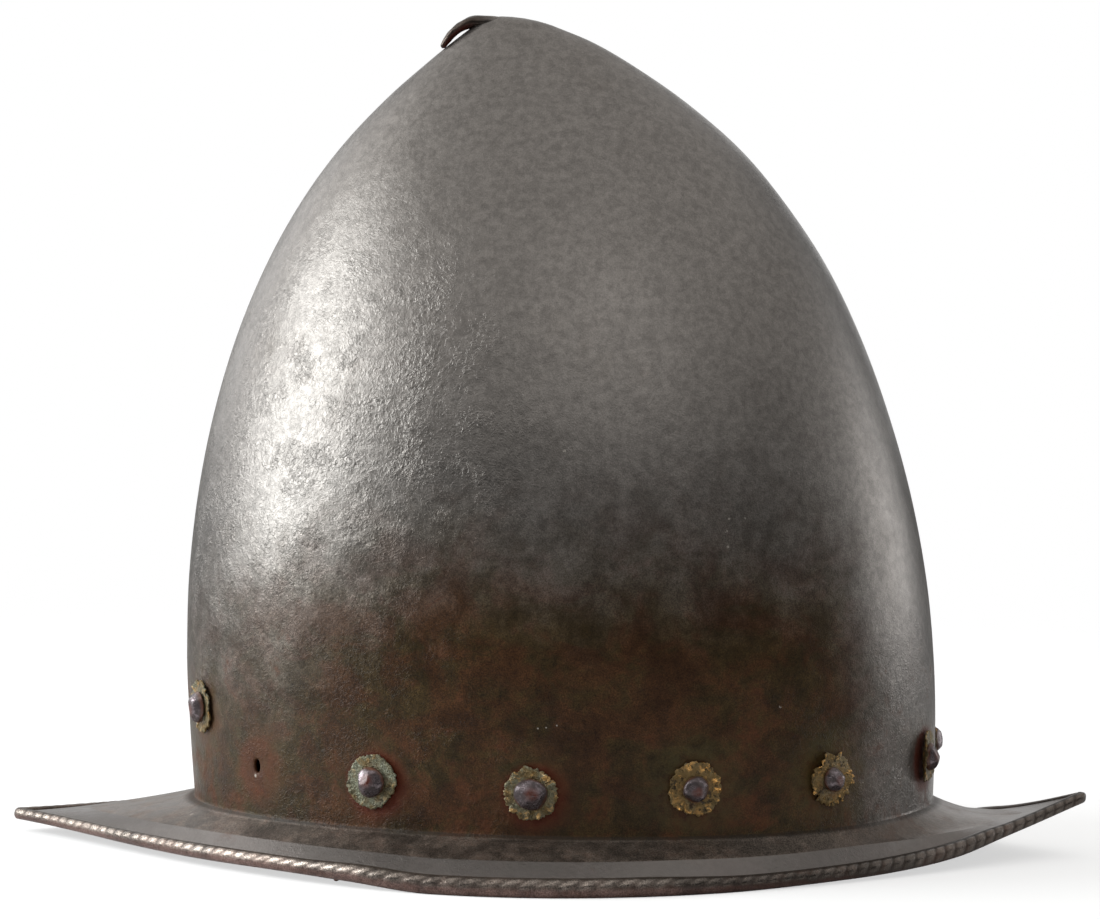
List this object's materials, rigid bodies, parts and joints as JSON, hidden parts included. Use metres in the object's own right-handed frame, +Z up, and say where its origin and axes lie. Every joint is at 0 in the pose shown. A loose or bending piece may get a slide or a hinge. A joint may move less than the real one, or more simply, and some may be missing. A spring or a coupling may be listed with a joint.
{
  "type": "cabasset morion helmet",
  "caption": "Tall almond-shaped iron helmet in one piece, with a hooked stalk at its point, a narrow roped brim drawn to a tip fore and aft, and rivets on brass rosettes round its base.",
  "frame": {"origin": "on the surface that the brim rests on, below the middle of the brim", "axes": "+X to the front tip of the brim, +Y to the wearer's left, +Z up"},
  "size_m": [0.3467, 0.245, 0.2656],
  "materials": {
    "blackened_iron": "forged iron with a satin dark brown patina, fine pitting and rust-red patches low on the bowl",
    "rivet_iron": "hammered iron heads, satin, worn brighter on top",
    "tarnished_brass": "thin brass, dull and greenish grey, golden along the lobes",
    "thong_leather": "dry orange-brown leather"
  },
  "bodies": {
    "root": {"skull": "blackened_iron", "rivet_right_1": "rivet_iron", "rivet_right_2": "rivet_iron", "rivet_right_3": "rivet_iron", "rivet_right_4": "rivet_iron", "rivet_right_5": "rivet_iron", "rivet_right_7": "rivet_iron", "rivet_left_1": "rivet_iron", "rivet_left_2": "rivet_iron", "rivet_left_3": "rivet_iron", "rivet_left_4": "rivet_iron", "rivet_left_5": "rivet_iron", "rivet_left_6": "rivet_iron", "rivet_left_7": "rivet_iron", "rosette_right_1": "tarnished_brass", "rosette_right_2": "tarnished_brass", "rosette_right_3": "tarnished_brass", "rosette_right_4": "tarnished_brass", "rosette_right_5": "tarnished_brass", "rosette_right_7": "tarnished_brass", "rosette_left_1": "tarnished_brass", "rosette_left_2": "tarnished_brass", "rosette_left_3": "tarnished_brass", "rosette_left_4": "tarnished_brass", "rosette_left_5": "tarnished_brass", "rosette_left_6": "tarnished_brass", "rosette_left_7": "tarnished_brass", "thong_scrap": "thong_leather"}
  },
  "joints": []
}
